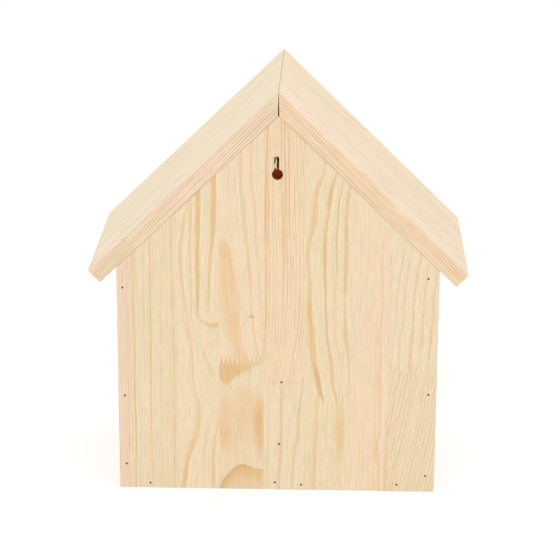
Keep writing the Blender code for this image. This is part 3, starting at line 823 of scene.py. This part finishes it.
def dress_roof(name, side, seed, from_eave, tones, edge):
    """One roof board. from_eave is where its rear edge has a finger joint; below 0, none shows."""
    ways = roof_ways(side)
    low, high = box_mm(name)
    eave = Vector((high.x if side > 0 else low.x, 0, low.z)).dot(ways[1])
    rear_stave = (high.y + seed * SEED_SHIFT) // STAVE
    joint = eave - from_eave - rear_stave * JOINT_STAGGER * ROOF_PIECE
    pine = stave_pine(name + "_pine", ways, seed, piece=ROOF_PIECE, spacing=(1.3, 2.6), contrast=0.5,
                      edge_contrast=2.1, tones=tones, edge=edge, joint=joint, mottle=2.0)
    wear(frame["nodes"][name], pine)


def dress_boards():
    nodes = frame["nodes"]
    wear(nodes["back_panel"], back_panel_pine())
    plain = (
        ("right_wall", (Y, Z, X), 2.0),
        ("left_wall", (Y, Z, X), 3.0),
        ("front_gable", (X, Z, Y), 5.0),        # the door was cut from the same board
        ("front_door", (X, Z, Y), 5.0),
        ("floor_board", (Y, X, Z), 7.0),
        ("bay_divider", (Y, Z, X), 8.0),
    )
    for name, ways, seed in plain:
        wear(nodes[name], stave_pine(name + "_pine", ways, seed))
    # Painted sheen: the roof's tones are paler and greyer than the panel's, standing in for the sheen of the
    # white surroundings on the tops; the edge tints bring the rear edges back down to the wood's own colour
    tones = ((246, 227, 199), (246, 226, 201), (243, 226, 195), (245, 225, 197))
    dress_roof("right_roof", 1, 11.0, 46.0, tones, (0.99, 0.932, 0.923, 1.0))
    tones = ((246, 224, 195), (247, 223, 197), (244, 223, 191), (246, 222, 193))
    dress_roof("left_roof", -1, 13.0, -60.0, tones, (0.998, 0.945, 0.887, 1.0))
    steel = brad_steel()
    for name, node in nodes.items():
        if "brad" in name:
            wear(node, steel)


# ---- small pieces

SIDES = 48                  # around a dowel
SHARP_TURN = math.radians(38)       # edges that turn more than this stay sharp
PERCH_ROUND = 1.1           # outer edge of a perch
PERCH_BEVEL = 0.3           # end of a perch that sits in the door
BUTTON_ROUND = 0.9          # rims of the turn button
HOLE_RADIUS = 1.85          # in the turn button, for its screw
HEAD_HEIGHT = 2.4           # pan head
HEAD_WALL = 0.9             # upright part of its side
HEAD_FOOT_ROUND = 0.25
HEAD_TIP = 0.02             # radius of the dome's flat middle
NECK_TAPER = 0.5            # cone under the head
THREAD_START = 0.8          # from the head's foot
THREAD_PITCH = 1.6
THREAD_CREST = 1.70
THREAD_CORE = 1.15
THREAD_RIDGE = 0.22         # half the width of the ridge, as a share of the pitch
THREAD_STEP = 0.2           # between rows of points along the shank
THREAD_SIDES = 24
POINT_LENGTH = 4.0
POINT_TIP = 0.03            # size at the very end, as a share of the shank
SCREW_TURN = 0.4            # how the cross recesses stand, in radians
RECESS_DEPTH = 1.3
RECESS_ARM = 2.1            # middle to the end of an arm, at the top
RECESS_HALF = 0.5           # half the width of an arm, at the top
RECESS_TAPER = 0.6          # size at the bottom, as a share of the top


def skin(name, rings, joined=False):
    """Mesh over rings of points given in mm: its ends are capped, or joined to each other."""
    shape = bmesh.new()
    rows = [[shape.verts.new(Vector(spot) * MM) for spot in ring] for ring in rings]
    pairs = list(zip(rows, rows[1:]))
    if joined:
        pairs.append((rows[-1], rows[0]))
    else:
        shape.faces.new(rows[0])
        shape.faces.new(rows[-1])
    for low, high in pairs:
        for index, spot in enumerate(low):
            after = (index + 1) % len(low)
            shape.faces.new((spot, low[after], high[after], high[index]))
    bmesh.ops.recalc_face_normals(shape, faces=shape.faces)
    mesh = bpy.data.meshes.new(name)
    shape.to_mesh(mesh)
    shape.free()
    mesh.shade_smooth()
    mesh.set_sharp_from_angle(angle=SHARP_TURN)
    return mesh


def add_object(name, data):
    made = bpy.data.objects.new(name, data)
    bpy.context.scene.collection.objects.link(made)
    return made


def add_piece(name, mesh, body, finish, material, *stands_for):
    piece = add_object(name, mesh)
    piece.data.materials.append(material)
    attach(piece, body)
    if stands_for:
        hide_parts(*stands_for)


def quarter(steps):
    """Angles from 0 to 90 degrees."""
    return [math.pi / 2 * step / steps for step in range(steps + 1)]


def rounding(radius, steps):
    """Round edge between two faces, as distances from each of them."""
    return [(radius * (1 - math.sin(turn)), radius * (1 - math.cos(turn))) for turn in quarter(steps)]


def full_turn(sides):
    """Angles of the corners of a regular polygon."""
    return [math.tau * side / sides for side in range(sides)]


def round_perch(node, seed):
    """Dowel along Y with a rounded outer end."""
    low, high = box_mm(node)
    middle = (low + high) / 2
    radius = (high.z - low.z) / 2
    outline = [(high.y, radius - PERCH_BEVEL), (high.y - PERCH_BEVEL, radius)]
    outline += [(low.y + back, radius - inset) for back, inset in rounding(PERCH_ROUND, 6)]
    rings = [[(middle.x + size * math.cos(turn), y, middle.z + size * math.sin(turn))
              for turn in full_turn(SIDES)] for y, size in outline]
    name = node + "_dowel"
    add_piece(name, skin(name, rings), "door", "beech", beech(node + "_beech", Y, seed), node)


def rounded_button():
    """Bar with round ends and softened rims, bored for its screw."""
    low, high = box_mm("turn_button")
    pivot = sum(box_mm("turn_button_screw"), Vector()) / 2
    radius = (high.z - low.z) / 2
    ends = [(high.x - radius, math.pi * step / SIDES - math.pi / 2) for step in range(SIDES + 1)]
    ends += [(low.x + radius, turn + math.pi) for _, turn in ends]

    def rim(inset, y):
        size = radius - inset
        return [(x + size * math.cos(turn), y, pivot.z + size * math.sin(turn)) for x, turn in ends]

    def hole(y):
        ring = []
        for x, _, z in rim(0, y):
            way = Vector((x - pivot.x, z - pivot.z)).normalized() * HOLE_RADIUS
            ring.append((pivot.x + way.x, y, pivot.z + way.y))
        return ring

    rise = rounding(BUTTON_ROUND, 5)
    rings = [hole(low.y)] + [rim(inset, low.y + up) for inset, up in rise]
    rings += [rim(inset, high.y - up) for inset, up in reversed(rise)] + [hole(high.y)]
    add_piece("turn_button_bar", skin("turn_button_bar", rings, joined=True), "button", "beech",
              beech("turn_button_beech", X, 6.0), "turn_button")


def thread_radius(z, turn, length):
    """Radius of the threaded shank at a height and an angle."""
    phase = (z / THREAD_PITCH + turn / math.tau) % 1.0
    ridge = max(0.0, 1.0 - abs(phase - 0.5) / THREAD_RIDGE)
    share = min(1.0, max(POINT_TIP, (length + z) / POINT_LENGTH))
    return (THREAD_CORE + (THREAD_CREST - THREAD_CORE) * ridge) * share


def screw_rings(head_radius, length):
    """Rings from the top of the head, over the neck and down the thread to the point."""
    dome = [(head_radius * math.sin(turn), HEAD_WALL + (HEAD_HEIGHT - HEAD_WALL) * math.cos(turn))
            for turn in quarter(10)][1:]
    outline = [(HEAD_TIP, HEAD_HEIGHT)] + dome
    outline += [(head_radius, HEAD_FOOT_ROUND), (head_radius - HEAD_FOOT_ROUND, 0.0), (THREAD_CREST, 0.0),
                (THREAD_CORE, -NECK_TAPER)]
    turns = full_turn(THREAD_SIDES)
    rings = [[(size * math.cos(turn), size * math.sin(turn), z) for turn in turns] for size, z in outline]
    threaded = length - THREAD_START
    rows = int(threaded / THREAD_STEP)
    for row in range(rows + 1):
        z = -THREAD_START - threaded * row / rows
        sizes = [thread_radius(z, turn, length) for turn in turns]
        rings.append([(size * math.cos(turn), size * math.sin(turn), z) for size, turn in zip(sizes, turns)])
    return rings


def recess_rings():
    """Rings of the cross-shaped tool that cuts the recess."""
    arm, half = RECESS_ARM, RECESS_HALF
    cross = [(arm, -half), (arm, half), (half, half), (half, arm), (-half, arm), (-half, half), (-arm, half),
             (-arm, -half), (-half, -half), (-half, -arm), (half, -arm), (half, -half)]
    sizes = ((RECESS_TAPER, HEAD_HEIGHT - RECESS_DEPTH), (1.0, HEAD_HEIGHT), (1.0, HEAD_HEIGHT + 1.0))
    return [[(x * size, y * size, z) for x, y in cross] for size, z in sizes]


def screw_mesh(name, head_radius, length):
    """Pan-head wood screw with a cross recess. It points down and its head rests on z = 0."""
    screw = add_object(name, skin(name, screw_rings(head_radius, length)))
    tool = add_object("recess", skin("recess", recess_rings()))
    cut = screw.modifiers.new("recess", "BOOLEAN")
    cut.object = tool
    cut.solver = "EXACT"
    graph = bpy.context.evaluated_depsgraph_get()
    mesh = bpy.data.meshes.new_from_object(screw.evaluated_get(graph))
    for item in (screw, tool):
        bpy.data.objects.remove(item)
    mesh.materials.clear()
    mesh.set_sharp_from_angle(angle=SHARP_TURN)
    return mesh


def threaded_screw(node, out, body, material):
    """Screw whose head looks along out, in the place of a plain one."""
    low, high = box_mm(node)
    middle = (low + high) / 2
    span = high - low
    reach = abs(span.dot(out))
    head_radius = max(span - Vector(abs(part) * reach for part in out)) / 2
    seat = middle + out * (reach / 2 - HEAD_HEIGHT)
    mesh = screw_mesh(node + "_threaded", head_radius, reach - HEAD_HEIGHT)
    turn = Z.rotation_difference(out).to_matrix().to_4x4()
    mesh.transform(Matrix.Translation(seat * MM) @ turn @ Matrix.Rotation(SCREW_TURN, 4, "Z"))
    add_piece(node + "_threaded", mesh, body, "screw_zinc", material, node)


# Left and right edges of the splinter in the keyhole's slot: (up, left, right), in mm. Up is the
# height on the panel, and left and right are measured from the slot's middle as the camera sees it.
SPLINTER = (
    (295.2, -0.1, 0.3), (296.2, -0.9, 0.4), (297.0, -2.4, 0.2), (298.0, -2.5, 0.0), (299.0, -2.5, -0.1),
    (299.8, -2.0, -0.1), (300.6, -1.4, 0.25), (301.6, -1.1, 0.45), (302.8, -0.95, 0.1), (303.9, -0.9, -0.2),
    (304.8, -0.75, -0.1), (305.8, -0.6, 0.1), (306.8, -0.7, 0.2))
SPLINTER_FACE = 0.25        # below the panel's back face
SPLINTER_DEPTH = 2.35
# Corners of its section: shares of half its width and of its depth
SPLINTER_SECTION = ((-1.0, 0.45), (-0.7, 0.0), (0.7, 0.0), (1.0, 0.45), (0.7, 1.0), (-0.7, 1.0))


def keyhole_splinter():
    """Sliver of wood that the cutter left standing in the keyhole's slot."""
    middle = hanger_point()
    face = middle.y - SPLINTER_FACE
    rings = []
    for up, left, right in SPLINTER:
        centre, half = middle.x - (left + right) / 2, (right - left) / 2
        rings.append([(centre - half * side, face - SPLINTER_DEPTH * depth, up)
                      for side, depth in SPLINTER_SECTION])
    pine = stave_pine("keyhole_splinter_pine", (X, Z, Y), 4.0)
    add_piece("keyhole_splinter", skin("keyhole_splinter", rings), "box", "panel_pine", pine)


def dress_hardware():
    metal = zinc()
    threaded_screw("right_pivot_screw", X, "door", metal)
    threaded_screw("left_pivot_screw", -X, "door", metal)
    threaded_screw("turn_button_screw", -Y, "box", metal)
    round_perch("right_perch", 1.0)
    round_perch("left_perch", 4.0)
    rounded_button()
    keyhole_splinter()


# ---- studio

FLOOR_HALF = 8.0            # metres, like all of the studio
FLOOR_DROP = 0.0004         # keeps the floor clear of the house's underside
LIGHT_TARGET = Vector((0, 0, 0.2))
CAMERA_PLACE = Vector((-0.0474, 1.8365, 0.7588))
CAMERA_TARGET = Vector((-0.00197, 0.090, 0.19652))
CAMERA_ROLL = math.radians(0.32)
LENS = 136.4                # mm, on a sensor 36 mm wide


def add_floor():
    """White floor that glows a little, so that it stays white in the house's soft shadow."""
    mesh = bpy.data.meshes.new("studio_floor")
    corners = [(FLOOR_HALF * x, FLOOR_HALF * y, 0) for x, y in ((-1, -1), (1, -1), (1, 1), (-1, 1))]
    mesh.from_pydata(corners, [], [(0, 1, 2, 3)])
    floor = add_object("studio_floor", mesh)
    floor.location.z = -FLOOR_DROP
    graph = Graph("studio_white")
    look = {"Base Color": (0.45, 0.45, 0.45, 1.0), "Roughness": 0.9, "Specular IOR Level": 0.1,
            "Emission Color": WHITE, "Emission Strength": 0.6}
    for name, value in look.items():
        graph.shader.inputs[name].default_value = value
    floor.data.materials.append(graph.material)


def add_light(name, place, size, power):
    data = bpy.data.lights.new(name, "AREA")
    data.shape = "SQUARE"
    data.size = size
    data.energy = power
    light = add_object(name, data)
    light.location = place
    light.rotation_euler = (LIGHT_TARGET - light.location).to_track_quat("-Z", "Y").to_euler()


def add_studio():
    add_floor()
    world = bpy.data.worlds.new("studio")
    bpy.context.scene.world = world
    world.use_nodes = True
    background = world.node_tree.nodes["Background"]
    background.inputs["Color"].default_value = WHITE
    background.inputs["Strength"].default_value = 0.75
    add_light("overhead", (0, 0.2, 3.0), 2.5, 25.0)
    add_light("key", (-1.6, 2.2, 2.2), 1.6, 10.0)
    add_light("fill", (2.0, 1.6, 1.2), 1.8, 4.0)


def add_camera():
    """The view of the back, from a little above and a little to one side."""
    data = bpy.data.cameras.new("camera")
    data.lens = LENS
    data.sensor_width = 36.0
    data.clip_end = 50.0
    camera = add_object("camera", data)
    aim = (CAMERA_TARGET - CAMERA_PLACE).to_track_quat("-Z", "Y").to_matrix().to_4x4()
    camera.matrix_world = Matrix.Translation(CAMERA_PLACE) @ aim @ Matrix.Rotation(CAMERA_ROLL, 4, "Z")
    bpy.context.scene.camera = camera


def main():
    bpy.context.scene.view_settings.view_transform = "Standard"
    dress_boards()
    dress_hardware()
    add_studio()
    add_camera()


main()
